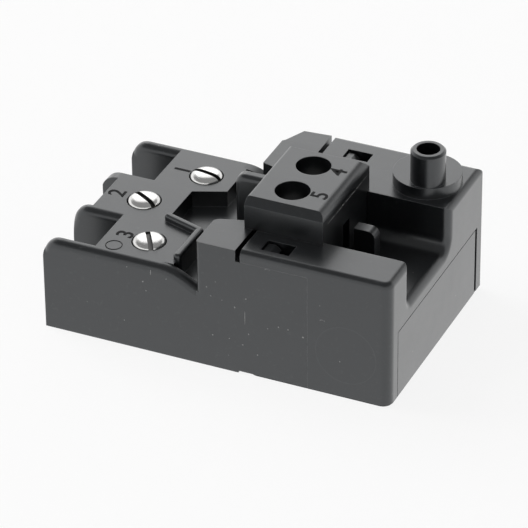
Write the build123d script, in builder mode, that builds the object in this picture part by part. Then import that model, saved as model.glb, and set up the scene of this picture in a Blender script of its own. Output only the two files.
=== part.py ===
from build123d import *
from math import cos, radians, sin, sqrt
from typing import NamedTuple
import os

os.makedirs("parts", exist_ok=True)

# Sections of the body along X, from the wire end to the trigger end: terminals, towers, slot and cover.
tower_start = 27.0
tower_length = 6.8
slot_width = 0.8
cover_length = 25.4

# Sections across it along Y, from front to back: rail, trigger channel and rail.
front_rail = 7.5
channel_width = 16.9
back_rail_width = 14.0

# Heights and walls that the mouldings share.
rail_top = 22.8
wall = 1.9
floor_thickness = 1.6
sheet_thickness = 0.35
running_gap = 0.3
fitting_gap = 0.1

# Terminals 1, 2 and 3: wire channels between parallel walls, stepped blocks with a screw each.
divider_pitch = 10.85
divider = 1.7
terminal_top = 16.4
side_block_start = 8.6
middle_block_start = 2.85
nose_radius = 2.85
nose_length = 2.7
wall_top_radius = 1.25
rolled_walls = (0, 1, 3)
channel_floor = 2.6
side_screw_x = 15.85
middle_screw_x = 9.8
head_rise = 0.5

# Sunk floor between the terminals and the raised block, and the insulating ribs beside it.
recess_floor = 13.5
recess_skin = 0.9
recess_left = 15.7
recess_step = 6.0
notch_inset = 1.0
back_step_inset = 3.2
rib_height = 1.1
rib_thickness = 1.35
rib_top_radius = 0.5
rib_setback = 0.85
rib_slant = 2.0
rib_corner_setback = 4.7
rib_end_gap = 1.6
dip_length = 6.7
dip_rise = 0.4
dip_slope = -0.42

# Towers, the slot beside them and the joint between base and cover.
tower_depth = 7.5
tower_flare = 1.5
tower_back_inset = 0.4
tower_taper = 2.1
tower_edge_radius = 0.6
seam_setback = 0.2
sheet_setback = 1.5
sheet_inset = 0.25

# Cover: two rails with the trigger channel between them, and the eccentric post.
cover_wall = 1.8
rail_skin = 2.0
channel_level = 15.2
channel_skin = 1.8
corner_radius = 1.6
top_edge_radius = 1.0
back_foot_radius = 2.4
front_foot_radius = 1.0
channel_mouth_radius = 1.3
front_window_setback = 2.7
front_window_length = 4.8
front_window_margin = 1.9
front_window_width = 3.0
rear_window_setback = 3.4
rear_window_length = 4.3
rear_window_margin = 3.2
rear_window_width = 2.6
catch_ledge = 0.9
catch_depth = 1.1
hook_play = 0.2
hook_drop = 0.4
panel_left_margin = 3.3
panel_right_margin = 2.7
panel_height = 12.4
panel_gap = 0.15
panel_side_gap = 0.8
collar_radius = 5.6
collar_thickness = 2.05
collar_from_end = 6.5
collar_offset = 0.5
post_radius = 2.85
post_bore_radius = 1.9
post_height = 7.7
post_rim = 0.35
post_turn = -67.0
post_inset = 0.1
post_bore_depth = 13.5
boss_wall = 1.9
boss_floor = 2.8

# Raised block with terminals 4 and 5 and the barrier between their wires.
block_overlap = 1.4
block_length = 13.4
block_rail_overlap = 0.85
block_top = 28.2
block_reach = 1.0
block_chamfer = 1.2
block_end_radius = 1.5
block_start_radius = 0.5
block_screw_setback = 6.0
block_screw_inset = 0.25
block_screw_depth = 3.7
block_side_gap = 0.3
leg_play = 0.3
leg_side_play = 0.2
barrier_length = 5.5
barrier_thickness = 1.8
barrier_drop = 1.6
barrier_radius = 1.6
barrier_edge_radius = 0.9

# Clamp screws and rising cages. Each screw's slot has its own turn about Z.
screw_turns = {1: -13.0, 2: -32.0, 3: -58.0, 4: 20.0, 5: 75.0}
screw_hole_radius = 2.85
head_radius = 2.55
head_height = 2.4
head_chamfer = 0.5
slot_cut_width = 0.8
slot_cut_depth = 0.9
shank_radius = 1.45
shank_chamfer = 0.4
thread_clearance = 0.05
cage_travel = 1.9
cage_plate = 1.4
cage_floor = 1.2
cage_side = 0.9
cage_width = 5.8
cage_depth = 5.2
cage_corner = 0.6
wire_space = 3.6
wire_hole_width = 4.2
tip_clearance = 0.05

# Contact strips, silver tips and rocking contacts.
strip_thickness = 0.8
strip_width = 3.2
floor_strip_width = 2.2
strip_leg_setback = 5.0
tip_radius = 1.2
tip_chamfer = 0.2
fixed_tip_height = 0.7
moving_tip_height = 0.5
contact_arm = 4.2
rocker_half = 5.3
rocker_thickness = 0.8
contact_gap = 0.05
rocker_tilt = 7.0
pivot_setback = 2.5
pivot_clearance = 0.08
stop_clearance = 0.2

# Slider moved by the trigger, its sprung plungers and its return spring.
slider_travel = 3.5
blade_thickness = 2.0
blade_reach = 11.5
carriage_reach = 9.5
carriage_setback = 0.7
carriage_wall = 0.75
carriage_radius = 1.0
carriage_drop = 0.5
carriage_lift = 0.9
keel_lift = 1.2
slider_setback = 0.3
tab_setback = 2.0
tab_length = 3.6
tab_drop = 1.1
tab_radius = 1.3
stem_inset = 0.3
stem_length = 2.4
plunger_radius = 1.4
plunger_nose = 0.8
plunger_tip_gap = 0.08
plunger_length = 3.3
plunger_bore_gap = 0.1
plunger_bore_roof = 0.6
plunger_wire = 0.4
plunger_spring_turns = 2
spring_seat_setback = 1.4
spring_seat_wall = 1.6
spring_seat_width = 10.0
spring_height = 7.5
spring_radius = 2.2
spring_wire = 0.6
spring_turns = 5
boss_radius = 1.5
boss_length = 1.6
guide_setback = 2.0
guide_reach = 3.0
guide_thickness = 0.8
guide_height = 4.4

# Places along the body, each from the one that carries it
tower_end = tower_start + tower_length
cover_start = tower_end + slot_width
length = cover_start + cover_length
underside_step = tower_end + running_gap
sheet_start = underside_step + sheet_setback
block_start = tower_end - block_overlap
block_end = block_start + block_length
block_screw_x = block_start + block_screw_setback
seam_x = block_end + seam_setback
recess_right_step = tower_start - recess_step
rib_left = recess_left + running_gap
rib_corner_x = tower_start - rib_corner_setback
dip_start = tower_start - dip_length
strip_leg_x = tower_start - strip_leg_setback
spring_seat_x = tower_start - spring_seat_setback
chamber_start = strip_leg_x - strip_thickness / 2 - running_gap
slider_x = block_end - slider_setback
tab_start = slider_x + tab_setback
tab_end = tab_start + tab_length
stem_start = tab_start + stem_inset
stem_end = stem_start + stem_length
keel_start = slider_x - blade_reach
keel_end = slider_x + carriage_reach
carriage_start = slider_x + carriage_setback
pivot_x = slider_x + pivot_setback
guide_start = keel_start + guide_setback
guide_end = pivot_x + guide_reach
collar_x = length - collar_from_end
left = -length / 2

# Places across it
back_rail = front_rail + channel_width
width = back_rail + back_rail_width
centre_depth = front_rail + channel_width / 2
tray_back = width - wall
back_wall_inner = 3 * divider_pitch
terminal_width = back_wall_inner + divider
recess_notch_depth = 2 * divider_pitch + notch_inset
recess_back_step = 2 * divider_pitch + back_step_inset
rib_left_depth = divider_pitch + divider + rib_setback
rib_corner_depth = rib_left_depth - rib_slant
rib_front_depth = divider + rib_end_gap
block_width = channel_width + 2 * block_rail_overlap
block_screw_pitch = channel_width / 2 - block_screw_inset
pole_depths = {"front": centre_depth - block_screw_pitch / 2, "rear": centre_depth + block_screw_pitch / 2}
plunger_bore_radius = plunger_radius + plunger_bore_gap
carriage_width = block_screw_pitch + 2 * (plunger_bore_radius + carriage_wall)
collar_depth = back_rail + back_rail_width / 2 - collar_offset
front = -width / 2

# Heights above the underside
floor_top = sheet_thickness + floor_thickness
floor_mid = floor_top + strip_thickness / 2
recess_underside = recess_floor - recess_skin
dip_end = recess_floor + dip_rise
seam_height = rail_top - rail_skin
channel_underside = channel_level - channel_skin
block_bottom = channel_underside - block_reach
post_bore_floor = rail_top + post_height - post_bore_depth
boss_bottom = post_bore_floor - boss_floor
tilt = radians(rocker_tilt)
closed_stack = strip_thickness + fixed_tip_height + moving_tip_height * cos(tilt) + contact_gap
rocker_base = floor_top + closed_stack + (contact_arm + tip_radius) * sin(tilt)
keel_bottom = floor_top + keel_lift
carriage_bottom = rocker_base + rocker_half * sin(tilt) + rocker_thickness + carriage_lift
carriage_top = block_bottom - carriage_drop
tab_bottom = channel_level + running_gap
tab_top = rail_top - tab_drop


class Terminal(NamedTuple):
    """One clamp terminal: where its screw stands and how its slot is turned."""

    x: float
    depth: float
    head_top: float
    turn: float

    @property
    def head_seat(self):
        """Height of the underside of the screw head."""
        return self.head_top - head_height

    @property
    def cage_top(self):
        """Height of the cage's upper face when it is fully open."""
        return self.head_seat - fitting_gap - cage_travel

    @property
    def strip_top(self):
        """Height of the contact strip that the screw's tip bears on."""
        return self.cage_top - cage_plate - running_gap

    @property
    def cage_bottom(self):
        """Height of the cage's lower face when it is fully open."""
        return self.strip_top - strip_thickness - wire_space - cage_floor


def channel_depth(index):
    """Depth behind the front face of the middle of a wire channel, counted from the front."""
    return divider_pitch * (index + 0.5) + divider / 2


class SnapWindow(NamedTuple):
    """One snap window in a rail's top: its limits along and across the switch."""

    start: float
    end: float
    near: float
    far: float


windows = (
    SnapWindow(
        cover_start + front_window_setback,
        cover_start + front_window_setback + front_window_length,
        front_window_margin,
        front_window_margin + front_window_width,
    ),
    SnapWindow(
        cover_start + rear_window_setback,
        cover_start + rear_window_setback + rear_window_length,
        width - rear_window_margin - rear_window_width,
        width - rear_window_margin,
    ),
)
front_head_top = terminal_top + head_rise
block_head_top = block_top - block_screw_depth
terminals = {
    1: Terminal(side_screw_x, channel_depth(2), front_head_top, screw_turns[1]),
    2: Terminal(middle_screw_x, channel_depth(1), front_head_top, screw_turns[2]),
    3: Terminal(side_screw_x, channel_depth(0), front_head_top, screw_turns[3]),
    4: Terminal(block_screw_x, pole_depths["rear"], block_head_top, screw_turns[4]),
    5: Terminal(block_screw_x, pole_depths["front"], block_head_top, screw_turns[5]),
}
block_starts = {1: side_block_start, 2: middle_block_start, 3: side_block_start}


def level(height):
    """Horizontal plane at a height, with its origin above the front left corner."""
    return Plane(origin=(left, front, height))


def profile(depth):
    """Upright plane along X, at a depth behind the front face, seen from the front."""
    return Plane(origin=(left, front + depth, 0), x_dir=(1, 0, 0), z_dir=(0, -1, 0))


def section(distance):
    """Upright plane across the switch, at a distance from the wire end, seen from the trigger end."""
    return Plane(origin=(left + distance, front, 0), x_dir=(0, 1, 0), z_dir=(1, 0, 0))


def slab(x, y, z, mode=Mode.ADD):
    """Straight-sided stretch between two limits along each axis, from the front left corner."""
    with Locations((left + x[0], front + y[0], z[0])):
        Box(x[1] - x[0], y[1] - y[0], z[1] - z[0], align=(Align.MIN, Align.MIN, Align.MIN), mode=mode)


def about(centre, half):
    """Limits that lie a half width to each side of a centre."""
    return (centre - half, centre + half)


def finish(piece, name):
    """Label a finished piece and write it."""
    piece.part.label = name
    export_step(piece.part, f"parts/{name}.step")


# Insulating ribs with rounded ends and tops, moulded onto the base.
with BuildPart() as ribs:
    with BuildSketch(level(recess_floor)):
        with BuildLine():
            Polyline(
                (rib_left, rib_left_depth),
                (rib_corner_x, rib_corner_depth),
                (rib_corner_x, rib_front_depth),
            )
            offset(amount=rib_thickness / 2, kind=Kind.ARC)
        make_face()
    extrude(amount=terminal_top + rib_height - recess_floor)
    fillet(ribs.edges().group_by(Axis.Z)[-1], rib_top_radius)


# Base: terminal end, recess, towers, tray and end panel in one moulding.
with BuildPart() as housing_base:
    slab((0, tower_start), (0, terminal_width), (0, terminal_top))

    # Wire channels, open to the left and above
    for number, start in block_starts.items():
        centre = terminals[number].depth
        half = (divider_pitch - divider) / 2
        slab((0, start), about(centre, half), (channel_floor, terminal_top), mode=Mode.SUBTRACT)
    nose_drop = sqrt(nose_radius**2 - nose_length**2)
    with BuildSketch(profile(0)):
        with BuildLine():
            Polyline(
                (0, terminal_top - nose_radius + nose_drop),
                (0, terminal_top),
                (nose_length, terminal_top),
            )
            RadiusArc((0, terminal_top - nose_radius + nose_drop), (nose_length, terminal_top), nose_radius)
        make_face()
    extrude(amount=-terminal_width, mode=Mode.SUBTRACT)

    # Outer walls run down towards each tower in a soft curve
    for depth in (0, back_wall_inner):
        with BuildSketch(profile(depth)):
            with BuildLine():
                curve = Spline(
                    (dip_start, terminal_top),
                    (tower_start, dip_end),
                    tangents=((1, 0), (1, dip_slope)),
                )
                Polyline(curve @ 1, (tower_start, terminal_top), curve @ 0)
            make_face()
        extrude(amount=-divider, mode=Mode.SUBTRACT)

    # Each wall's top is rolled over towards the front
    for index in rolled_walls:
        ridge = front + index * divider_pitch
        lines = housing_base.edges().filter_by(Axis.X).group_by(Axis.Z)[-1]
        lines = lines.filter_by_position(Axis.Y, ridge - fitting_gap, ridge + fitting_gap)
        fillet(lines.sort_by(Axis.X)[0], wall_top_radius)

    # Tray that carries the mechanism, and the foot and towers at its left
    slab((tower_end, seam_x), (0, width), (sheet_thickness, seam_height))
    slab((tower_end, underside_step), (0, width), (0, sheet_thickness))
    slab((seam_x, length - cover_wall), (wall, tray_back), (sheet_thickness, floor_top))
    with BuildSketch(level(0)):
        with BuildLine():
            Polyline(
                (tower_start, 0),
                (tower_end, 0),
                (tower_end, width - tower_back_inset),
                (tower_start + tower_taper, width - 2 * tower_back_inset),
                (tower_start + tower_back_inset, terminal_width - tower_back_inset),
                (tower_start, terminal_width - tower_back_inset),
                close=True,
            )
        make_face()
    extrude(amount=recess_floor)
    with BuildSketch(level(recess_floor)):
        with BuildLine():
            Polyline(
                (tower_start, 0),
                (tower_end, 0),
                (tower_end, tower_depth),
                (block_start - fitting_gap, tower_depth),
                (block_start - fitting_gap, tower_depth + tower_flare),
                (tower_start + tower_edge_radius, tower_depth),
                (tower_start, tower_depth - tower_edge_radius),
                close=True,
            )
        make_face()
        fillet(vertices().sort_by_distance((tower_start, 0, 0))[0], tower_edge_radius)
        with BuildLine():
            Polyline(
                (tower_start, back_rail + tower_flare),
                (block_start - fitting_gap, back_rail),
                (tower_end, back_rail),
                (tower_end, width - tower_back_inset),
                (tower_start + tower_taper, width - 2 * tower_back_inset),
                (tower_start + tower_back_inset, terminal_width - tower_back_inset),
                (tower_start, terminal_width - 2 * tower_back_inset),
                close=True,
            )
        make_face()
    extrude(amount=rail_top - recess_floor)

    # Sunk floor between terminals, ribs and towers
    with BuildSketch(level(recess_floor)):
        with BuildLine():
            Polyline(
                (recess_left, rib_left_depth + rib_thickness / 2),
                (recess_left, recess_notch_depth),
                (recess_right_step, recess_back_step),
                (recess_right_step, back_wall_inner),
                (tower_start, back_wall_inner),
                (tower_start, divider),
                (rib_corner_x, divider),
                (rib_corner_x, rib_corner_depth),
                close=True,
            )
        make_face()
    extrude(amount=terminal_top, mode=Mode.SUBTRACT)

    # Insulating ribs, one slanted and one across
    add(ribs.part)

    # Mechanism chamber, and the well above it that the raised block and the rails fill
    chamber_heights = (floor_top, recess_underside)
    slab((chamber_start, length), (wall, back_wall_inner), chamber_heights, mode=Mode.SUBTRACT)
    slab((cover_start, length), (wall, tray_back), chamber_heights, mode=Mode.SUBTRACT)
    slab(
        (block_start - fitting_gap, cover_start),
        (front_rail, back_rail),
        (recess_underside, rail_top),
        mode=Mode.SUBTRACT,
    )
    slab(
        (cover_start - fitting_gap, length),
        (wall, tray_back),
        (recess_underside, rail_top),
        mode=Mode.SUBTRACT,
    )
    slab((tower_end, cover_start), (0, wall), (seam_height, rail_top), mode=Mode.SUBTRACT)

    # Cage pockets, the tunnels that the cages slide in by, wire holes and screw holes
    for number, start in block_starts.items():
        clamp = terminals[number]
        across = about(clamp.depth, cage_width / 2 + running_gap)
        along = about(clamp.x, cage_depth / 2 + running_gap)
        bottom = clamp.cage_bottom - running_gap
        slab(along, across, (bottom, clamp.head_seat), mode=Mode.SUBTRACT)
        slab((clamp.x, chamber_start), across, (bottom, recess_underside), mode=Mode.SUBTRACT)
        slab(
            (start, clamp.x),
            about(clamp.depth, wire_hole_width / 2),
            (clamp.strip_top - strip_thickness - wire_space, clamp.strip_top - strip_thickness),
            mode=Mode.SUBTRACT,
        )
        with BuildSketch(level(clamp.head_seat)):
            with Locations((clamp.x, clamp.depth)):
                Circle(screw_hole_radius)
        extrude(amount=terminal_top, mode=Mode.SUBTRACT)

    # End panel that fills the opening in the cover's end wall
    slab(
        (length - cover_wall - fitting_gap, length),
        (panel_left_margin, width - panel_right_margin),
        (sheet_thickness, panel_height),
    )

    # Seat of the return spring, guide ribs of the slider and the stop of the front contact
    slab(
        (spring_seat_x - spring_seat_wall, spring_seat_x),
        about(centre_depth, spring_seat_width / 2),
        (floor_top, recess_underside),
    )
    slab(
        (spring_seat_x - spring_seat_wall, spring_seat_x),
        about(centre_depth, floor_strip_width / 2 + fitting_gap),
        (floor_top, floor_top + strip_thickness + fitting_gap),
        mode=Mode.SUBTRACT,
    )
    with BuildSketch(section(spring_seat_x)):
        with Locations((centre_depth, spring_height)):
            Circle(boss_radius)
    extrude(amount=boss_length)
    for sign in (-1, 1):
        rib_centre = centre_depth + sign * (blade_thickness / 2 + running_gap + guide_thickness / 2)
        slab(
            (guide_start, guide_end),
            about(rib_centre, guide_thickness / 2),
            (floor_top, floor_top + guide_height),
        )
    stop_top = rocker_base - contact_arm * sin(tilt) - stop_clearance
    slab(
        about(pivot_x + contact_arm, strip_thickness),
        about(pole_depths["front"], strip_width / 2 - fitting_gap),
        (floor_top, stop_top),
    )

    # Snap tongues that rise through the rails and hook over a ledge in each window
    catch_level = rail_top - catch_depth
    for window in windows:
        shank_start = window.start + catch_ledge + fitting_gap
        hook_start = window.start + hook_play
        shank_end = (window.start + window.end) / 2
        tip_height = rail_top - hook_drop
        with BuildSketch(profile(window.near + running_gap)):
            with BuildLine():
                Polyline(
                    (shank_start, floor_top),
                    (shank_end, floor_top),
                    (shank_end, catch_level),
                    (shank_end - catch_ledge, tip_height),
                    (hook_start, tip_height),
                    (hook_start, catch_level),
                    (shank_start, catch_level),
                    close=True,
                )
            make_face()
        extrude(amount=window.near - window.far + 2 * running_gap)
        if window.near < width / 2:
            root = (wall, window.near + running_gap)
        else:
            root = (window.far - running_gap, tray_back)
        slab((shank_start, shank_end), root, (floor_top, seam_height - cover_wall))
finish(housing_base, "housing_base")


# Trigger channel cut along a block as large as the cover, with rounded feet and a rounded mouth.
with BuildPart() as trough:
    slab((cover_start, length), (0, width), (0, rail_top))
    with BuildSketch(section(cover_start)):
        with BuildLine():
            Polyline(
                (front_rail, rail_top),
                (front_rail, channel_level),
                (back_rail, channel_level),
                (back_rail, rail_top),
                close=True,
            )
        make_face()
        fillet(vertices().group_by(Axis.Y)[0].sort_by(Axis.X)[0], front_foot_radius)
        fillet(vertices().group_by(Axis.Y)[0].sort_by(Axis.X)[-1], back_foot_radius)
    extrude(amount=cover_length, mode=Mode.SUBTRACT)
    end_lines = trough.edges().filter_by(Axis.Y).group_by(Axis.X)[-1]
    fillet(end_lines.sort_by(Axis.Z)[1], channel_mouth_radius)


# Cover: rails, trigger channel and end wall in one moulding, hollow from below.
with BuildPart() as housing_cover:
    with BuildSketch(profile(0)):
        with BuildLine():
            Polyline(
                (cover_start, seam_height),
                (seam_x, seam_height),
                (seam_x, sheet_thickness),
                (length, sheet_thickness),
                (length, rail_top),
                (cover_start, rail_top),
                close=True,
            )
        make_face()
    extrude(amount=-width)
    fillet(housing_cover.edges().filter_by(Axis.Z).group_by(Axis.X)[-1].sort_by(Axis.Y)[0], corner_radius)
    fillet(housing_cover.edges().group_by(Axis.Z)[-1].sort_by(Axis.X)[1:], top_edge_radius)
    add(trough.part, mode=Mode.INTERSECT)
    slab((cover_start, block_end + running_gap), (front_rail, back_rail), (0, rail_top), mode=Mode.SUBTRACT)

    # Space under the rails and the channel
    inside = length - cover_wall
    slab((seam_x, inside), (cover_wall, width - cover_wall), (0, channel_underside), mode=Mode.SUBTRACT)
    for near, far in ((cover_wall, front_rail - cover_wall), (back_rail + cover_wall, width - cover_wall)):
        slab((cover_start + cover_wall, inside), (near, far), (0, rail_top - rail_skin), mode=Mode.SUBTRACT)

    # Inner walls of the rails beside the raised block, and their closed left ends
    for inner in (front_rail - cover_wall, back_rail):
        slab((cover_start, seam_x), (inner, inner + cover_wall), (channel_underside, seam_height))
    for near, far in ((wall + fitting_gap, front_rail), (back_rail, tray_back - fitting_gap)):
        slab((cover_start, cover_start + cover_wall), (near, far), (channel_underside, seam_height))

    # Snap windows, each with a ledge that the base's tongue hooks over
    for window in windows:
        across = (window.near, window.far)
        behind_ledge = (window.start + catch_ledge, window.end)
        slab((window.start, window.end), across, (rail_top - catch_depth, rail_top), mode=Mode.SUBTRACT)
        slab(behind_ledge, across, (channel_level, rail_top), mode=Mode.SUBTRACT)

    # Opening in the end wall for the base's panel, and the way for the slider's stem
    slab(
        (inside, length),
        (panel_left_margin - panel_gap, width - panel_right_margin + panel_side_gap),
        (0, panel_height + panel_gap),
        mode=Mode.SUBTRACT,
    )
    slab(
        (seam_x, stem_end + running_gap),
        about(centre_depth, blade_thickness / 2 + running_gap),
        (channel_underside, channel_level),
        mode=Mode.SUBTRACT,
    )

    # Collar with the hollow post standing off its centre, over a boss inside the rail
    offset_length = collar_radius - post_radius - post_inset
    post_x = collar_x + offset_length * cos(radians(post_turn))
    post_depth = collar_depth + offset_length * sin(radians(post_turn))
    with BuildSketch(level(rail_top - rail_skin / 2)):
        with Locations((collar_x, collar_depth)):
            Circle(collar_radius)
    extrude(amount=rail_skin / 2 + collar_thickness)
    with BuildSketch(level(rail_top)):
        with Locations((post_x, post_depth)):
            Circle(post_radius)
    extrude(amount=post_height)
    chamfer(housing_cover.edges().group_by(Axis.Z)[-1], post_rim)
    with BuildSketch(level(boss_bottom)):
        with Locations((post_x, post_depth)):
            Circle(post_bore_radius + boss_wall)
    extrude(amount=rail_top - boss_bottom - fitting_gap)
    with BuildSketch(level(post_bore_floor)):
        with Locations((post_x, post_depth)):
            Circle(post_bore_radius)
    extrude(amount=rail_top + post_height - post_bore_floor, mode=Mode.SUBTRACT)
finish(housing_cover, "housing_cover")


# Barrier between the wires of terminals 4 and 5, rounded over its free edge towards the front.
with BuildPart() as barrier:
    barrier_height = block_top - barrier_drop - recess_floor
    with BuildSketch(profile(centre_depth - barrier_thickness / 2)):
        with Locations((block_start - barrier_length, recess_floor)):
            Rectangle(barrier_length + block_start_radius, barrier_height, align=(Align.MIN, Align.MIN))
        fillet(vertices().group_by(Axis.Y)[-1].sort_by(Axis.X)[0], barrier_radius)
    extrude(amount=-barrier_thickness)
    free_edges = barrier.faces().sort_by(Axis.Y)[0].edges().sort_by(Axis.X)[:-1]
    fillet(free_edges.sort_by(Axis.Z)[1:], barrier_edge_radius)


# Raised block: cap on the rails, two clamp pockets below it and the barrier at its left.
with BuildPart() as terminal_block:
    cap_front = centre_depth - block_width / 2
    with BuildSketch(section(block_start)):
        with BuildLine():
            Polyline(
                (cap_front, rail_top),
                (cap_front + block_width, rail_top),
                (cap_front + block_width, block_top - block_chamfer),
                (cap_front + block_width - block_chamfer, block_top),
                (cap_front + block_chamfer, block_top),
                (cap_front, block_top - block_chamfer),
                close=True,
            )
        make_face()
    extrude(amount=block_length)
    end_edges = terminal_block.edges().filter_by(Axis.Y).group_by(Axis.Z)[-1].sort_by(Axis.X)
    fillet(end_edges[-1], block_end_radius)
    fillet(end_edges[0], block_start_radius)
    slab(
        (block_start, block_end),
        (front_rail + block_side_gap, back_rail - block_side_gap),
        (block_bottom, rail_top),
    )
    add(barrier.part)

    for number in (4, 5):
        clamp = terminals[number]
        across = about(clamp.depth, cage_width / 2 + running_gap)
        along = about(clamp.x, cage_depth / 2 + running_gap)
        slab(along, across, (block_bottom, clamp.head_seat), mode=Mode.SUBTRACT)
        leg = clamp.x + cage_depth / 2 + running_gap
        slab(
            (leg, leg + strip_thickness + leg_play),
            about(clamp.depth, strip_width / 2 + leg_side_play),
            (block_bottom, clamp.strip_top + leg_side_play),
            mode=Mode.SUBTRACT,
        )
        slab(
            (block_start, clamp.x),
            about(clamp.depth, wire_hole_width / 2),
            (clamp.strip_top - strip_thickness - wire_space, clamp.strip_top - strip_thickness),
            mode=Mode.SUBTRACT,
        )
        with BuildSketch(level(clamp.head_seat)):
            with Locations((clamp.x, clamp.depth)):
                Circle(screw_hole_radius)
        extrude(amount=block_top - clamp.head_seat, mode=Mode.SUBTRACT)

    # Slot that the slider's tab moves into
    slab(
        (tab_start - slider_travel - running_gap, block_end),
        about(centre_depth, blade_thickness / 2 + running_gap),
        (block_bottom, tab_top + running_gap),
        mode=Mode.SUBTRACT,
    )
finish(terminal_block, "terminal_block")


# Thin insulating sheet under the mechanism part.
with BuildPart() as insulating_sheet:
    sheet_end = length - sheet_inset
    with BuildSketch(level(0)):
        with Locations(((sheet_start + sheet_end) / 2, width / 2)):
            RectangleRounded(sheet_end - sheet_start, width - 2 * sheet_inset, corner_radius)
    extrude(amount=sheet_thickness)
finish(insulating_sheet, "insulating_sheet")


# Slider: upright blade with the tab that the trigger pushes, and a cross carriage for the plungers.
plunger_x = pivot_x + slider_travel / 2
bore_top = carriage_top - plunger_bore_roof
with BuildPart() as trigger_slider:
    with BuildSketch(profile(centre_depth - blade_thickness / 2)):
        with BuildLine():
            Polyline(
                (keel_start, keel_bottom),
                (keel_end, keel_bottom),
                (keel_end, carriage_top),
                (stem_end, carriage_top),
                (stem_end, tab_bottom),
                (tab_end, tab_bottom),
                (tab_end, tab_top),
                (tab_start, tab_top),
                (tab_start, tab_bottom),
                (stem_start, tab_bottom),
                (stem_start, carriage_top),
                (keel_start, carriage_top),
                close=True,
            )
        make_face()
        tab_corner = vertices().group_by(Axis.Y)[-1].sort_by(Axis.X)[-1]
        fillet(tab_corner, tab_radius)
    extrude(amount=-blade_thickness)
    with BuildSketch(level(carriage_bottom)):
        with Locations(((carriage_start + keel_end) / 2, centre_depth)):
            RectangleRounded(keel_end - carriage_start, carriage_width, carriage_radius)
    extrude(amount=carriage_top - carriage_bottom)
    with BuildSketch(section(keel_start - boss_length)):
        with Locations((centre_depth, spring_height)):
            Circle(boss_radius)
    extrude(amount=boss_length)
    with BuildSketch(level(carriage_bottom)):
        with Locations(*[(plunger_x, depth) for depth in pole_depths.values()]):
            Circle(plunger_bore_radius)
    extrude(amount=bore_top - carriage_bottom, mode=Mode.SUBTRACT)
finish(trigger_slider, "trigger_slider")


# Return spring between the base's seat and the slider.
with BuildPart() as return_spring:
    coil_length = keel_start - spring_seat_x - spring_wire
    coil_start = (left + spring_seat_x + spring_wire / 2, front + centre_depth, spring_height)
    with BuildLine() as coil:
        Helix(
            coil_length / spring_turns,
            coil_length,
            spring_radius,
            center=coil_start,
            direction=(1, 0, 0),
        )
    wire_start = coil.line @ 0
    with BuildSketch(Plane(wire_start, x_dir=wire_start - Vector(*coil_start), z_dir=coil.line % 0)):
        Rectangle(spring_wire, spring_wire)
    sweep(path=coil.line, is_frenet=True)
finish(return_spring, "return_spring")


# Plungers that rock the contacts, each with a small spring above it in its bore.
plunger_tip = rocker_base + rocker_thickness + plunger_tip_gap
plunger_top = plunger_tip + plunger_length
for side, depth in pole_depths.items():
    with BuildPart() as plunger:
        axis_plane = Plane(origin=(left + plunger_x, front + depth, 0), x_dir=(1, 0, 0), z_dir=(0, -1, 0))
        with BuildSketch(axis_plane):
            with BuildLine():
                Polyline(
                    (0, plunger_tip),
                    (plunger_radius - plunger_nose, plunger_tip),
                    (plunger_radius, plunger_tip + plunger_nose),
                    (plunger_radius, plunger_top),
                    (0, plunger_top),
                    close=True,
                )
            make_face()
        revolve(axis=Axis((left + plunger_x, front + depth, 0), (0, 0, 1)))
    finish(plunger, f"plunger_{side}")

    with BuildPart() as plunger_spring:
        rise = bore_top - plunger_top - plunger_wire
        coil_radius = plunger_radius - plunger_wire / 2 - fitting_gap
        coil_start = (left + plunger_x, front + depth, plunger_top + plunger_wire / 2)
        with BuildLine() as small_coil:
            Helix(rise / plunger_spring_turns, rise, coil_radius, center=coil_start)
        wire_start = small_coil.line @ 0
        radial = wire_start - Vector(*coil_start)
        with BuildSketch(Plane(wire_start, x_dir=radial, z_dir=small_coil.line % 0)):
            Rectangle(plunger_wire, plunger_wire)
        sweep(path=small_coil.line, is_frenet=True)
    finish(plunger_spring, f"plunger_spring_{side}")


# Rocking contacts, drawn along their own tilted plane, with silver tips under them.
for side, depth in pole_depths.items():
    along = Plane(
        origin=(left + pivot_x, front + depth, rocker_base),
        x_dir=(cos(tilt), 0, -sin(tilt)),
        z_dir=(0, -1, 0),
    )
    under = Plane(
        origin=(left + pivot_x, front + depth, rocker_base),
        x_dir=(cos(tilt), 0, -sin(tilt)),
        z_dir=(-sin(tilt), 0, -cos(tilt)),
    )
    with BuildPart() as rocker:
        with BuildSketch(along):
            with Locations((0, rocker_thickness / 2)):
                Rectangle(2 * rocker_half, rocker_thickness)
        extrude(amount=strip_width / 2, both=True)
        fillet(rocker.edges().filter_by(Axis((0, 0, 0), along.y_dir)), rocker_thickness)
    finish(rocker, f"rocker_contact_{side}")

    places = (-contact_arm,) if side == "front" else (-contact_arm, contact_arm)
    with BuildPart() as moving_tips:
        with BuildSketch(under):
            with Locations(*[(place, 0) for place in places]):
                Circle(tip_radius)
        extrude(amount=moving_tip_height)
    finish(moving_tips, f"moving_tips_{side}")


# Contact strips: a tongue through each cage, a leg down and a run along the floor to its contact.
def upright_strip(points, centre, breadth):
    """Bent strip whose middle line is drawn in profile and widened to both sides of its centre."""
    with BuildSketch(profile(centre)) as outline:
        with BuildLine() as line:
            Polyline(*points)
        trace(line.edges(), line_width=strip_thickness)
    extrude(outline.sketch, amount=breadth / 2, both=True)


def floor_run(points):
    """Strip that lies on the floor, drawn in plan by its middle line."""
    with BuildSketch(level(floor_top)) as outline:
        with BuildLine() as line:
            Polyline(*points)
        trace(line.edges(), line_width=floor_strip_width)
    extrude(outline.sketch, amount=strip_thickness)


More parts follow.
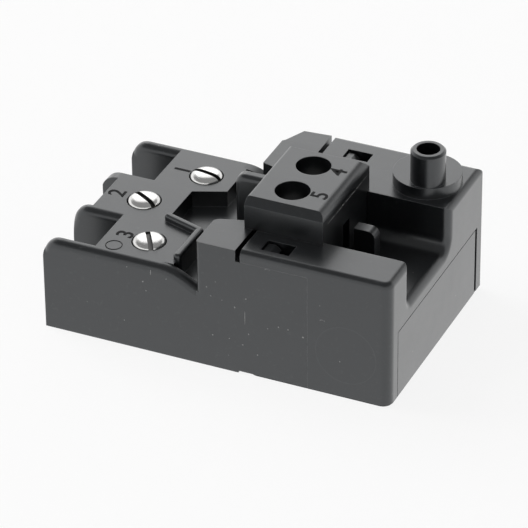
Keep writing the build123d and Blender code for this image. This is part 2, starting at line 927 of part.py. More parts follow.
for number, side in ((1, "rear"), (3, "front")):
    clamp = terminals[number]
    pole = pole_depths[side]
    tongue = clamp.strip_top - strip_thickness / 2
    with BuildPart() as strip:
        upright_strip(
            [
                (clamp.x - cage_depth / 2 - running_gap, tongue),
                (strip_leg_x, tongue),
                (strip_leg_x, floor_mid),
                (strip_leg_x + floor_strip_width / 2, floor_mid),
            ],
            clamp.depth,
            floor_strip_width,
        )
        floor_run([(strip_leg_x, clamp.depth), (pivot_x, clamp.depth), (pivot_x, pole)])
        slab(
            about(pivot_x, floor_strip_width / 2),
            about(pole, strip_width / 2),
            (floor_top, floor_top + strip_thickness),
        )
        slab(
            about(pivot_x, strip_thickness / 2),
            about(pole, strip_width / 2),
            (floor_top, rocker_base - pivot_clearance),
        )
    finish(strip, f"contact_strip_{number}")

clamp = terminals[2]
tongue = clamp.strip_top - strip_thickness / 2
fixed_right = pivot_x + contact_arm
with BuildPart() as strip:
    upright_strip(
        [
            (clamp.x - cage_depth / 2 - running_gap, tongue),
            (strip_leg_x, tongue),
            (strip_leg_x, floor_mid),
            (strip_leg_x + floor_strip_width / 2, floor_mid),
        ],
        clamp.depth,
        floor_strip_width,
    )
    floor_run(
        [
            (strip_leg_x, centre_depth),
            (fixed_right, centre_depth),
            (fixed_right, pole_depths["rear"]),
        ]
    )
    slab(
        (strip_leg_x, strip_leg_x + floor_strip_width / 2),
        sorted((centre_depth, clamp.depth)),
        (floor_top, floor_top + strip_thickness),
    )
    slab(
        about(fixed_right, floor_strip_width / 2),
        about(pole_depths["rear"], strip_width / 2),
        (floor_top, floor_top + strip_thickness),
    )
finish(strip, "contact_strip_2")

fixed_left = pivot_x - contact_arm
for number in (4, 5):
    clamp = terminals[number]
    tongue = clamp.strip_top - strip_thickness / 2
    leg = clamp.x + cage_depth / 2 + running_gap + fitting_gap + strip_thickness / 2
    with BuildPart() as strip:
        upright_strip(
            [
                (clamp.x - cage_depth / 2, tongue),
                (leg, tongue),
                (leg, floor_mid),
                (fixed_left + tip_radius, floor_mid),
            ],
            clamp.depth,
            strip_width,
        )
    finish(strip, f"contact_strip_{number}")

fixed_places = {
    2: (fixed_right, pole_depths["rear"]),
    4: (fixed_left, pole_depths["rear"]),
    5: (fixed_left, pole_depths["front"]),
}
for number, place in fixed_places.items():
    with BuildPart() as fixed_tip:
        with BuildSketch(level(floor_top + strip_thickness)):
            with Locations(place):
                Circle(tip_radius)
        extrude(amount=fixed_tip_height)
        chamfer(fixed_tip.edges().group_by(Axis.Z)[-1], tip_chamfer)
    finish(fixed_tip, f"fixed_tip_{number}")


# Clamps: a captive slotted screw and the cage that it draws up, for each terminal.
for number, clamp in terminals.items():
    with BuildPart() as screw:
        tip = clamp.strip_top + tip_clearance
        crown = clamp.head_top
        foot = (left + clamp.x, front + clamp.depth, 0)
        with BuildSketch(Plane(origin=foot, x_dir=(1, 0, 0), z_dir=(0, -1, 0))):
            with BuildLine():
                Polyline(
                    (0, tip),
                    (shank_radius - shank_chamfer, tip),
                    (shank_radius, tip + shank_chamfer),
                    (shank_radius, clamp.head_seat),
                    (head_radius, clamp.head_seat),
                    (head_radius, crown - head_chamfer),
                    (head_radius - head_chamfer, crown),
                    (0, crown),
                    close=True,
                )
            make_face()
        revolve(axis=Axis(foot, (0, 0, 1)))
        with BuildSketch(level(crown - slot_cut_depth)):
            with Locations((clamp.x, clamp.depth)):
                Rectangle(2 * screw_hole_radius, slot_cut_width, rotation=clamp.turn)
        extrude(amount=head_height, mode=Mode.SUBTRACT)
    finish(screw, f"clamp_screw_{number}")

    with BuildPart() as cage:
        cage_height = clamp.cage_top - clamp.cage_bottom
        opening = cage_height - cage_plate - cage_floor
        with BuildSketch(section(clamp.x - cage_depth / 2)):
            with Locations((clamp.depth, clamp.cage_bottom + cage_height / 2)):
                RectangleRounded(cage_width, cage_height, cage_corner)
            with Locations((clamp.depth, clamp.cage_bottom + cage_floor + opening / 2)):
                RectangleRounded(cage_width - 2 * cage_side, opening, cage_corner / 2, mode=Mode.SUBTRACT)
        extrude(amount=cage_depth)
        with BuildSketch(level(clamp.cage_top - cage_plate)):
            with Locations((clamp.x, clamp.depth)):
                Circle(shank_radius + thread_clearance)
        extrude(amount=cage_plate, mode=Mode.SUBTRACT)
    finish(cage, f"clamp_cage_{number}")
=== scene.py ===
"""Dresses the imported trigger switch: finishes, marks and small parts, then the studio round it.

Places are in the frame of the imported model: X runs from the wire end to the trigger end, Y from the
front to the side with the post, and Z up. Lengths are in metres where nothing else is said.
"""
from __future__ import annotations

import logging
import math
from dataclasses import dataclass, field
from enum import Enum

import bmesh
import bpy
from mathutils import Matrix, Vector


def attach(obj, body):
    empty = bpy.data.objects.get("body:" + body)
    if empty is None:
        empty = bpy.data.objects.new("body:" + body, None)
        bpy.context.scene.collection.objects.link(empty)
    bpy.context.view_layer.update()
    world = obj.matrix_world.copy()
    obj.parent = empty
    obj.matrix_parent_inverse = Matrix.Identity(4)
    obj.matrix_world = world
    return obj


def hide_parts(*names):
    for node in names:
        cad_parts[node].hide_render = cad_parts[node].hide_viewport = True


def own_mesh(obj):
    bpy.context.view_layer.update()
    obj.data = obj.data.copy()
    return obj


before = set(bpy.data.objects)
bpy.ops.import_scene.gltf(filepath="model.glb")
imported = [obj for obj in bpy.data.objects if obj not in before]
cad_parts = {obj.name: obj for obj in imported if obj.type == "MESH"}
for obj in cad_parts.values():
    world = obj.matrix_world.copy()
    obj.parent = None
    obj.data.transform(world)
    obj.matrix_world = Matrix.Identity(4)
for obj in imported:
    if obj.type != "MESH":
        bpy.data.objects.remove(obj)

log = logging.getLogger("trigger_switch")
MM = 0.001
HALF_LENGTH = 0.030
HALF_WIDTH = 0.0192
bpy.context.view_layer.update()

# How far the bevelled normal leans from the face's own where the paler edge paint (a painted
# highlight, patchy like rubbing) starts and where it is full.
EDGE_PAINT_START = 0.05
EDGE_PAINT_FULL = 0.24

# Shape of a fleck: its reach into the wall in millimetres, its outline and the inside of a curl.
FLECK_DEPTH = 0.5
FLECK_OUTLINE = 1.25
CURL_INSIDE = 0.62

# Tones of the mouldings, linear.
# Pale tone of the dust and flecks, also used for the painted highlight line along the raised block's
# cap.
PALE_DUST_AND_GLINT = (0.42, 0.42, 0.41, 1)
# Paler edge tone: a painted highlight on the sharp edges, patchy like rubbing.
EDGE_HIGHLIGHT_WEAR_TONE = (0.11, 0.112, 0.115, 1)
EJECTOR_RIM = (0.03, 0.031, 0.033, 1)
COOL_TINT = (0.88, 0.95, 1.0, 1.0)

# Moulded marks: type size for a figure's height, extrusion, rounding, and facets of the ring.
FIGURE_TYPE = 1.38
FIGURE_RISE = 0.00003
FIGURE_ROUND = 0.00002
RING_FACETS = 40

# Screws: facets, steps and powers of the crown's curve, and how the slot's faces are told.
SCREW_FACETS = 56
CROWN_STEPS = 12
CROWN_ACROSS = 0.55
CROWN_UP = 0.95
SLOT_REACH = 0.51
SLOT_SLACK = 0.01
SLOT_SQUARE = 0.9
SHARP_ANGLE = math.radians(38)

# Studio: facets of the floor and steps of its bend, its gap under the switch, and the lamps' aim.
FLOOR_FACETS = 96
BEND_STEPS = 8
FLOOR_GAP = 0.0001
LAMP_AIM = Vector((0, 0, 0.01))


class Body(Enum):
    """The moving bodies that pieces ride on."""

    HOUSING = "housing"
    SLIDER = "slider"


class Slot(Enum):
    """The record's material slots of the pieces that are made here."""

    BLACK = "black_moulding"
    SCREW = "screw_steel"
    WIRE = "spring_wire"


def corner(x: float, y: float, z: float) -> Vector:
    """A place counted in millimetres from the front left lower corner, in the model's frame."""
    return Vector((x * MM - HALF_LENGTH, y * MM - HALF_WIDTH, z * MM))


# ---- shader maths


@dataclass
class Value:
    """A number that varies over a surface, so that shader maths reads as plain expressions.

    Args:
        shader: The material being written.
        socket: The output that carries the number.
    """

    shader: "Shader"
    socket: bpy.types.NodeSocket

    def _math(self, operation: str, first: "Value | float", second: "Value | float") -> "Value":
        """Adds one Math node."""
        return self.shader.node("ShaderNodeMath", {"operation": operation}, {0: first, 1: second})

    def __add__(self, other: "Value | float") -> "Value":
        """self + other."""
        return self._math("ADD", self, other)

    def __radd__(self, other: float) -> "Value":
        """other + self."""
        return self._math("ADD", other, self)

    def __sub__(self, other: "Value | float") -> "Value":
        """self - other."""
        return self._math("SUBTRACT", self, other)

    def __rsub__(self, other: float) -> "Value":
        """other - self."""
        return self._math("SUBTRACT", other, self)

    def __mul__(self, other: "Value | float") -> "Value":
        """self * other."""
        return self._math("MULTIPLY", self, other)

    def __rmul__(self, other: float) -> "Value":
        """other * self."""
        return self._math("MULTIPLY", other, self)

    def __gt__(self, other: "Value | float") -> "Value":
        """1 where self is more than other, otherwise 0."""
        return self._math("GREATER_THAN", self, other)

    def __lt__(self, other: "Value | float") -> "Value":
        """1 where self is less than other, otherwise 0."""
        return self._math("LESS_THAN", self, other)

    def ramp(self, low: float, high: float) -> "Value":
        """0 below low, 1 above high and smooth between them.

        Args:
            low: Where the ramp leaves 0.
            high: Where the ramp reaches 1.

        Returns:
            The remapped value.
        """
        settings = {"interpolation_type": "SMOOTHSTEP"}
        inputs = {"Value": self, "From Min": low, "From Max": high}
        return self.shader.node("ShaderNodeMapRange", settings, inputs)


class Shader:
    """Writes one material's node tree."""

    def __init__(self, name: str) -> None:
        """Starts an empty material with a Principled shader.

        Args:
            name: Name of the material.
        """
        self.material = bpy.data.materials.new(name)
        self.material.use_nodes = True
        self.tree = self.material.node_tree
        self.tree.nodes.clear()
        self.bsdf = self.tree.nodes.new("ShaderNodeBsdfPrincipled")
        output = self.tree.nodes.new("ShaderNodeOutputMaterial")
        self.tree.links.new(self.bsdf.outputs[0], output.inputs["Surface"])
        self.place = self.node("ShaderNodeTexCoord", {}, {}, "Object")

    def node(self, kind: str, settings: dict, inputs: dict, output: str | int = 0) -> Value:
        """Adds a node: its settings first, then the values or links of its sockets.

        Args:
            kind: Blender's name for the node's type.
            settings: The node's properties.
            inputs: Socket name or number to a constant, a colour or a Value.
            output: Socket that the result reads.

        Returns:
            The chosen output as a Value.
        """
        made = self.tree.nodes.new(kind)
        for key, value in settings.items():
            setattr(made, key, value)
        for key, value in inputs.items():
            if isinstance(value, Value):
                self.tree.links.new(value.socket, made.inputs[key])
            else:
                made.inputs[key].default_value = value
        return Value(self, made.outputs[output])

    def counted(self, size: float, stretch: tuple = (1, 1, 1)) -> Value:
        """The place on the surface, counted in steps of about size.

        Args:
            size: Length of a step, in metres.
            stretch: How much longer the steps are along each axis.

        Returns:
            The counted place.
        """
        scale = tuple(1 / (size * s) for s in stretch)
        return self.node("ShaderNodeMapping", {}, {"Vector": self.place, "Scale": scale})

    def noise(self, size: float, detail: float = 3.0, stretch: tuple = (1, 1, 1)) -> Value:
        """Noise whose lumps measure about size.

        Args:
            size: Size of a lump, in metres.
            detail: How many finer layers the noise has.
            stretch: How much longer the lumps are along each axis.

        Returns:
            Noise from 0 to 1.
        """
        inputs = {"Vector": self.counted(size, stretch), "Scale": 1.0, "Detail": detail}
        return self.node("ShaderNodeTexNoise", {}, inputs)

    def cells(self, size: float) -> Value:
        """Distance from the nearest of scattered points about size apart.

        Args:
            size: Distance between points, in metres.

        Returns:
            Distance, in cells.
        """
        inputs = {"Vector": self.counted(size), "Scale": 1.0}
        return self.node("ShaderNodeTexVoronoi", {}, inputs, "Distance")

    def axis(self, name: str) -> Value:
        """The X, Y or Z coordinate of the surface, in metres."""
        return self.node("ShaderNodeSeparateXYZ", {}, {0: self.place}, name)

    def near(self, place: Vector, size: Vector) -> Value:
        """Distance from a place, counted in half widths along each axis.

        Args:
            place: The place, in metres.
            size: Half widths along X, Y and Z, in metres.

        Returns:
            0 at the place and 1 at one half width from it.
        """
        kind = "ShaderNodeVectorMath"
        offset = self.node(kind, {"operation": "SUBTRACT"}, {0: self.place, 1: place})
        counted = self.node(kind, {"operation": "DIVIDE"}, {0: offset, 1: size})
        return self.node(kind, {"operation": "LENGTH"}, {0: counted}, "Value")

    def mix(self, mask: Value, low: tuple | Value, high: tuple | Value) -> Value:
        """A colour between low and high by mask.

        Args:
            mask: 0 gives low and 1 gives high.
            low: Colour, or a Value that carries one.
            high: Colour, or a Value that carries one.

        Returns:
            The mixed colour.
        """
        settings = {"data_type": "RGBA"}
        return self.node("ShaderNodeMix", settings, {0: mask, 6: low, 7: high}, 2)

    def drive(self, socket: str, value: Value) -> None:
        """Links a varying value to one of the Principled shader's sockets."""
        self.tree.links.new(value.socket, self.bsdf.inputs[socket])

    def hold(self, **constants: float | tuple) -> None:
        """Sets constants on the Principled shader; an underscore stands for a space in a name."""
        for name, value in constants.items():
            self.bsdf.inputs[name.replace("_", " ")].default_value = value

    def edges(self, radius: float) -> Value:
        """Where the surface turns sharply.

        Args:
            radius: How near the turn has to be, in metres.

        Returns:
            1 on a sharp edge and 0 elsewhere.
        """
        rounded = self.node("ShaderNodeBevel", {"samples": 4}, {"Radius": radius})
        facing = self.node("ShaderNodeNewGeometry", {}, {}, "Normal")
        settings = {"operation": "DOT_PRODUCT"}
        alike = self.node("ShaderNodeVectorMath", settings, {0: rounded, 1: facing}, "Value")
        return (1 - alike).ramp(EDGE_PAINT_START, EDGE_PAINT_FULL)

    def relief(self, height: Value, depth: float, edge: float) -> None:
        """Bumps the surface and softens its edges.

        Args:
            height: Height from 0 to 1.
            depth: Height in metres that 1 stands for.
            edge: Radius of the softened edges, in metres; 0 leaves them sharp.
        """
        inputs: dict = {"Height": height, "Distance": depth, "Strength": 1.0}
        if edge:
            inputs["Normal"] = self.node("ShaderNodeBevel", {"samples": 6}, {"Radius": edge})
        self.drive("Normal", self.node("ShaderNodeBump", {}, inputs))


# ---- finishes


@dataclass(frozen=True)
class Fleck:
    """A pale fleck on a moulding: a dust grain, a fibre or a short scratch.

    Args:
        x: Its middle along the body, in millimetres from the left end.
        z: Its middle's height, in millimetres.
        wide: Half width, in millimetres.
        high: Half height, in millimetres.
        curled: Whether only its upper rim shows, as on a curled fibre.
    """

    x: float
    z: float
    wide: float = 0.15
    high: float = 0.15
    curled: bool = False

    def mask(self, s: Shader, wobble: Value) -> Value:
        """How much of the surface it covers, on the front face.

        Args:
            s: The material being written.
            wobble: Noise that makes its outline uneven.

        Returns:
            1 in the fleck and 0 elsewhere.
        """
        reach = Vector((self.wide, FLECK_DEPTH, self.high)) * MM
        away = s.near(corner(self.x, 0.0, self.z), reach)
        inside = (away + wobble) < FLECK_OUTLINE
        if not self.curled:
            return inside
        return inside * (away > CURL_INSIDE) * (s.axis("Z") > self.z * MM)


@dataclass(frozen=True)
class MouldedPlastic:
    """Black moulded plastic with a thin gloss: fine grain, pale dust, and paler edges that are a
    painted highlight made patchy like rubbing.

    Args:
        name: Name of the material.
        colour: Base colour, linear.
        roughness: Mean roughness.
        gloss: Weight of the polished skin over the grain.
        skin: Roughness of that skin.
        dust: Share of the dust that settles on the surface.
        edge: Radius of the softened edges.
        flecks: Single marks on the front face.
        disc: Middle of an ejector mark on the front face, in millimetres, or nothing.
        disc_radius: Radius of the ejector mark, in millimetres.
        edge_highlight_and_wear: How much paler the sharp edges are painted: a painted highlight that
            stands in for their glints, patchy like rubbing.
        cap_glint_line: Middle and half widths of a broken pale line painted along an edge as its
            highlight, in millimetres, or nothing.
    """

    name: str
    colour: tuple = (0.0064, 0.0069, 0.0079)
    roughness: float = 0.40
    gloss: float = 1.0
    skin: float = 0.26
    dust: float = 1.0
    edge: float = 0.00022
    flecks: tuple[Fleck, ...] = ()
    disc: tuple[float, float] | None = None
    disc_radius: float = 5.2
    edge_highlight_and_wear: float = 1.0
    cap_glint_line: tuple[tuple, tuple] | None = None

    def material(self) -> bpy.types.Material:
        """Builds the material."""
        s = Shader(self.name)
        cloud = s.noise(0.009, 4.0)
        grain = s.noise(0.00012, 2.0)
        flow = s.noise(0.0025, 5.0, (5, 1, 1))
        speck = s.cells(0.0021) < 0.045
        chosen = s.noise(0.0048, 2.0) > 0.56
        haze = s.noise(0.0007, 6.0).ramp(0.58, 0.82)
        dust = speck * chosen * 0.5 * self.dust + haze * 0.04 * self.dust
        wobble = s.noise(0.0002, 2.0)
        for fleck in self.flecks:
            dust = dust + fleck.mask(s, wobble) * 0.75
        dark = tuple(0.82 * c for c in self.colour) + (1,)
        light = tuple(1.25 * c for c in self.colour) + (1,)
        ground = s.mix(cloud.ramp(0.3, 0.7), dark, light)
        height = grain * 0.8 + flow * 0.2 + dust * 0.6
        # Paler sharp edges: a painted highlight standing in for the edges' glints, broken up by noise
        # like rubbing.
        if self.edge_highlight_and_wear:
            highlit_worn_edges = s.edges(0.00017) * s.noise(0.0016, 3.0).ramp(0.25, 0.6) * self.edge_highlight_and_wear
            ground = s.mix(highlit_worn_edges, ground, EDGE_HIGHLIGHT_WEAR_TONE)
        # A broken pale line painted along the cap's lower edge as its highlight, mixed in with the
        # dust.
        if self.cap_glint_line:
            middle, reach = self.cap_glint_line
            strip = s.near(corner(*middle), Vector(reach) * MM) < 1.0
            dust = dust + strip * (s.noise(0.0008, 3.0) > 0.47) * 0.8
        if self.disc:
            x, z = self.disc
            across = Vector((self.disc_radius, 0.6, self.disc_radius)) * MM
            away = s.near(corner(x, 0.0, z), across)
            rim = away.ramp(0.955, 0.985) * (1 - away.ramp(0.985, 1.015))
            ground = s.mix(rim * 0.5, ground, EJECTOR_RIM)
            height = height + rim * 1.5
        uneven = (cloud - 0.5) * 0.10 + (flow - 0.5) * 0.06
        # The dust mask here also carries the painted highlight line on the cap.
        s.drive("Base Color", s.mix(dust, ground, PALE_DUST_AND_GLINT))
        s.drive("Roughness", self.roughness + uneven + dust * 0.4)
        s.hold(Specular_IOR_Level=0.5, Coat_Weight=self.gloss, Coat_Roughness=self.skin)
        s.hold(Specular_Tint=COOL_TINT)
        s.relief(height, 0.000006, self.edge)
        return s.material


@dataclass(frozen=True)
class PlatedSteel:
    """Bright plated steel with fine turning marks and a few dull spots.

    Args:
        name: Name of the material.
        colour: Metal colour, linear.
        roughness: Mean roughness.
        scratch: Strength of the marks.
    """

    name: str
    colour: tuple = (0.86, 0.855, 0.84)
    roughness: float = 0.24
    scratch: float = 1.0

    def material(self) -> bpy.types.Material:
        """Builds the material."""
        s = Shader(self.name)
        cloud = s.noise(0.0011, 5.0)
        hair = s.noise(0.00009, 3.0, (9, 1, 1))
        spots = s.noise(0.0004, 4.0).ramp(0.62, 0.75)
        dull = tuple(0.72 * c for c in self.colour) + (1,)
        s.drive("Base Color", s.mix(spots * 0.5 + cloud * 0.2, self.colour + (1,), dull))
        s.drive("Roughness", self.roughness + (cloud - 0.5) * 0.14 + spots * 0.12)
        s.hold(Metallic=1.0)
        s.relief(hair * 0.7 + cloud * 0.3, 0.000004 * self.scratch, 0.00008)
        return s.material


@dataclass(frozen=True)
class PressedBrass:
    """Bare brass strip with rolling marks and light tarnish.

    Args:
        name: Name of the material.
        colour: Metal colour, linear.
    """

    name: str
    colour: tuple = (0.72, 0.48, 0.2)

    def material(self) -> bpy.types.Material:
        """Builds the material."""
        s = Shader(self.name)
        tarnish = s.noise(0.0018, 5.0).ramp(0.42, 0.7)
        rolled = s.noise(0.0001, 3.0, (14, 1, 1))
        s.drive("Base Color", s.mix(tarnish, self.colour + (1,), (0.36, 0.2, 0.08, 1)))
        s.drive("Roughness", 0.28 + tarnish * 0.2)
        s.hold(Metallic=1.0)
        s.relief(rolled, 0.000003, 0.0001)
        return s.material


@dataclass(frozen=True)
class ContactSilver:
    """Silver contact metal with small pits from switching.

    Args:
        name: Name of the material.
    """

    name: str

    def material(self) -> bpy.types.Material:
        """Builds the material."""
        s = Shader(self.name)
        pits = (s.cells(0.00035) < 0.2) * s.noise(0.0009, 3.0).ramp(0.45, 0.6)
        s.drive("Base Color", s.mix(pits * 0.7, (0.86, 0.85, 0.82, 1), (0.28, 0.26, 0.24, 1)))
        s.drive("Roughness", 0.24 + pits * 0.3)
        s.hold(Metallic=1.0)
        s.relief(1 - pits, 0.00001, 0.00006)
        return s.material


@dataclass(frozen=True)
class Marking:
    """Shadowed plastic in the strokes of a moulded mark.

    Args:
        name: Name of the material.
        colour: Base colour, linear.
    """

    name: str
    colour: tuple = (0.004, 0.0042, 0.0046)

    def material(self) -> bpy.types.Material:
        """Builds the material."""
        s = Shader(self.name)
        grain = s.noise(0.0002, 3.0)
        pale = tuple(2.2 * c for c in self.colour) + (1,)
        s.drive("Base Color", s.mix(grain.ramp(0.35, 0.75), self.colour + (1,), pale))
        s.drive("Roughness", 0.55 + grain * 0.2)
        s.hold(Specular_IOR_Level=0.3)
        s.relief(grain, 0.00001, 0.0)
        return s.material


# ---- meshes


def finish_mesh(
    name: str, build: bmesh.types.BMesh, material: bpy.types.Material, smooth: bool
) -> bpy.types.Object:
    """Turns a bmesh into a shown object.

    Args:
        name: Name of the object.
        build: The mesh under construction; it is freed.
        material: Its finish.
        smooth: Whether its faces are shaded smooth.

    Returns:
        The object, at the origin.
    """
    bmesh.ops.recalc_face_normals(build, faces=build.faces)
    mesh = bpy.data.meshes.new(name)
    build.to_mesh(mesh)
    build.free()
    mesh.materials.append(material)
    for face in mesh.polygons:
        face.use_smooth = smooth
    made = bpy.data.objects.new(name, mesh)
    bpy.context.scene.collection.objects.link(made)
    return made


def lathe(
    outline: list[tuple[float, float]], foot: Vector, steps: int, closed: bool
) -> bmesh.types.BMesh:
    """Turns a half section round an upright axis.

    Args:
        outline: Points as (radius, height), in millimetres.
        foot: Where the axis meets height 0.
        steps: Facets round the axis.
        closed: Whether the section's last point joins its first.

    Returns:
        The mesh under construction.
    """
    build = bmesh.new()
    rings = []
    for radius, height in outline:
        if radius == 0:
            rings.append([build.verts.new(foot + Vector((0, 0, height * MM)))] * steps)
            continue
        ring = []
        for step in range(steps):
            angle = 2 * math.pi * step / steps
            offset = Vector((radius * math.cos(angle), radius * math.sin(angle), height))
            ring.append(build.verts.new(foot + offset * MM))
        rings.append(ring)
    pairs = list(zip(rings, rings[1:]))
    if closed:
        pairs.append((rings[-1], rings[0]))
    for low, high in pairs:
        for step in range(steps):
            following = (step + 1) % steps
            corners = [low[step], low[following], high[following], high[step]]
            face = [vert for place, vert in enumerate(corners) if vert not in corners[:place]]
            build.faces.new(face)
    return build


def settle(piece: bpy.types.Object, body: str) -> None:
    """Hands a piece to its body and reports it."""
    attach(piece, body)
    log.info("%s: %d faces on %s", piece.name, len(piece.data.polygons), body)


def paint(node: str, material: bpy.types.Material) -> None:
    """Gives a CAD node its finish."""
    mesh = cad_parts[node].data
    mesh.materials.clear()
    mesh.materials.append(material)
    log.info("%s painted %s", node, material.name)


@dataclass
class CoilTree:
    """Geometry Nodes that wind a wire: the springs and the screws' threads are made by it."""

    name: str = "coil"
    tree: bpy.types.GeometryNodeTree = field(init=False)
    sockets: dict = field(init=False, default_factory=dict)

    def __post_init__(self) -> None:
        """Builds the tree with its named inputs."""
        self.tree = bpy.data.node_groups.new(self.name, "GeometryNodeTree")
        face = self.tree.interface
        face.new_socket("Geometry", in_out="INPUT", socket_type="NodeSocketGeometry")
        kinds = {
            "Turns": "NodeSocketFloat",
            "Radius": "NodeSocketFloat",
            "Height": "NodeSocketFloat",
            "Wire": "NodeSocketFloat",
            "Sides": "NodeSocketInt",
            "Finish": "NodeSocketMaterial",
        }
        for name, kind in kinds.items():
            self.sockets[name] = face.new_socket(name, in_out="INPUT", socket_type=kind).identifier
        face.new_socket("Geometry", in_out="OUTPUT", socket_type="NodeSocketGeometry")
        nodes, links = self.tree.nodes, self.tree.links
        given = nodes.new("NodeGroupInput")
        spiral = nodes.new("GeometryNodeCurveSpiral")
        spiral.inputs["Resolution"].default_value = 40
        ring = nodes.new("GeometryNodeCurvePrimitiveCircle")
        tube = nodes.new("GeometryNodeCurveToMesh")
        tube.inputs["Fill Caps"].default_value = True
        real = nodes.new("GeometryNodeRealizeInstances")
        dress = nodes.new("GeometryNodeSetMaterial")
        result = nodes.new("NodeGroupOutput")
        links.new(given.outputs["Turns"], spiral.inputs["Rotations"])
        links.new(given.outputs["Radius"], spiral.inputs["Start Radius"])
        links.new(given.outputs["Radius"], spiral.inputs["End Radius"])
        links.new(given.outputs["Height"], spiral.inputs["Height"])
        links.new(given.outputs["Wire"], ring.inputs["Radius"])
        links.new(given.outputs["Sides"], ring.inputs["Resolution"])
        links.new(spiral.outputs[0], tube.inputs["Curve"])
        links.new(ring.outputs[0], tube.inputs["Profile Curve"])
        links.new(tube.outputs[0], real.inputs[0])
        links.new(real.outputs[0], dress.inputs["Geometry"])
        links.new(given.outputs["Finish"], dress.inputs["Material"])
        links.new(dress.outputs[0], result.inputs[0])

    def wind(
        self, name: str, place: Matrix, material: bpy.types.Material, **sizes: float
    ) -> bpy.types.Object:
        """Winds one coil and places it.

        Args:
            name: Name of the object.
            place: Where the coil's start and axis lie.
            material: Its finish.
            sizes: Turns, Radius, Height, Wire and Sides.

        Returns:
            The coil as a plain mesh object.
        """
        carrier = bpy.data.objects.new(name + "_carrier", bpy.data.meshes.new(name + "_carrier"))
        bpy.context.scene.collection.objects.link(carrier)
        modifier = carrier.modifiers.new("coil", "NODES")
        modifier.node_group = self.tree
        for key, value in {**sizes, "Finish": material}.items():
            modifier[self.sockets[key]] = value
        graph = bpy.context.evaluated_depsgraph_get()
        mesh = bpy.data.meshes.new_from_object(carrier.evaluated_get(graph))
        carrier.modifiers.remove(modifier)
        bpy.data.objects.remove(carrier)
        mesh.transform(place)
        mesh.name = name
        for face in mesh.polygons:
            face.use_smooth = True
        made = bpy.data.objects.new(name, mesh)
        bpy.context.scene.collection.objects.link(made)
        return made


@dataclass
class Digit:
    """A moulded terminal number.

    Args:
        figure: The number.
        place: Middle of the figure, in millimetres from the front left lower corner.
        turn: Turn about Z, in degrees, of the figure's upright direction from +Y.
        height: Height of the figure, in millimetres.
        weight: How much its strokes are thickened, in millimetres.
    """

    figure: str
    place: tuple[float, float, float]
    turn: float
    height: float = 2.9
    weight: float = 0.02

    def build(self, material: bpy.types.Material) -> bpy.types.Object:
        """Builds the figure as a thin raised mesh."""
        curve = bpy.data.curves.new(f"digit_{self.figure}", "FONT")
        curve.body = self.figure
        curve.align_x = "CENTER"
        curve.align_y = "CENTER"
        curve.size = self.height * MM * FIGURE_TYPE
        curve.offset = self.weight * MM
        curve.extrude = FIGURE_RISE
        curve.bevel_depth = FIGURE_ROUND
        text = bpy.data.objects.new(curve.name, curve)
        bpy.context.scene.collection.objects.link(text)
        graph = bpy.context.evaluated_depsgraph_get()
        mesh = bpy.data.meshes.new_from_object(text.evaluated_get(graph))
        bpy.data.objects.remove(text)
        turn = Matrix.Rotation(math.radians(self.turn), 4, "Z")
        mesh.transform(Matrix.Translation(corner(*self.place)) @ turn)
        mesh.materials.clear()
        mesh.materials.append(material)
        made = bpy.data.objects.new(f"digit_{self.figure}", mesh)
        bpy.context.scene.collection.objects.link(made)
        return made


@dataclass(frozen=True)
class RingMark:
    """A moulded circle by a terminal.

    Args:
        place: Its middle, in millimetres from the front left lower corner.
        radius: Radius of its stroke's middle, in millimetres.
        stroke: Width of the stroke, in millimetres.
        rise: How far it stands up, in millimetres.
    """

    place: tuple[float, float, float] = (11.2, 3.05, 16.4)
    radius: float = 1.32
    stroke: float = 0.13
    rise: float = 0.05

    def build(self, name: str, material: bpy.types.Material) -> bpy.types.Object:
        """Builds the circle as a thin raised band."""
        inner, outer = self.radius - self.stroke / 2, self.radius + self.stroke / 2
        band = [(inner, 0.0), (outer, 0.0), (outer, self.rise), (inner, self.rise)]
        build = lathe(band, corner(*self.place), RING_FACETS, True)
        return finish_mesh(name, build, material, False)


